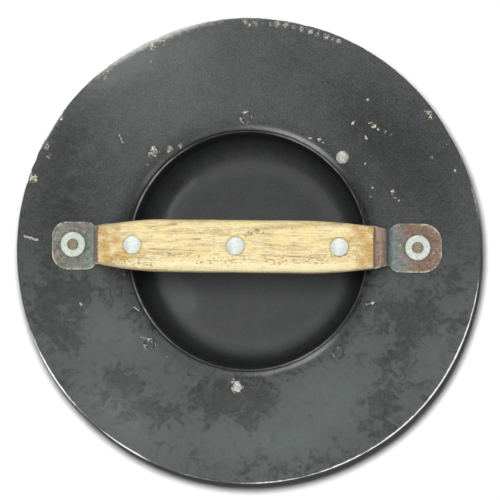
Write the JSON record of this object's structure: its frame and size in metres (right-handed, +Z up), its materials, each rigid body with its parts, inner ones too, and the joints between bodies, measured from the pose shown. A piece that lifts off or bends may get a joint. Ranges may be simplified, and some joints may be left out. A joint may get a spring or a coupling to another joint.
{
  "type": "buckler",
  "caption": "Round flat steel buckler with a pressed central boss and a riveted wooden grip across its back, lying face down",
  "frame": {"origin": "on the ground, under the middle of the plate, at the centre of the flat spot on the boss that the buckler rests on", "axes": "+Z is up, out of the back of the buckler, where the grip is; +X runs along the grip; +Y runs across the grip"},
  "size_m": [0.305, 0.305, 0.0854],
  "materials": {
    "plate": "blackened, satin, with small chips",
    "boss": "blackened, satin",
    "boss_rivet": "bare or partly blackened",
    "handle_strap": "forge grey with light rust",
    "washer": "dull zinc",
    "tab_rivet": "light rust",
    "grip": "oiled, worn",
    "grip_rivet": "dull bare steel"
  },
  "bodies": {
    "root": {"plate": "plate", "boss": "boss", "boss_rivet_1": "boss_rivet", "boss_rivet_2": "boss_rivet", "boss_rivet_3": "boss_rivet", "boss_rivet_4": "boss_rivet", "boss_rivet_5": "boss_rivet", "boss_rivet_6": "boss_rivet", "handle_strap": "handle_strap", "washer_left": "washer", "washer_right": "washer", "tab_rivet_left": "tab_rivet", "tab_rivet_right": "tab_rivet", "grip": "grip", "grip_rivet_1": "grip_rivet", "grip_rivet_2": "grip_rivet", "grip_rivet_3": "grip_rivet"}
  },
  "joints": []
}
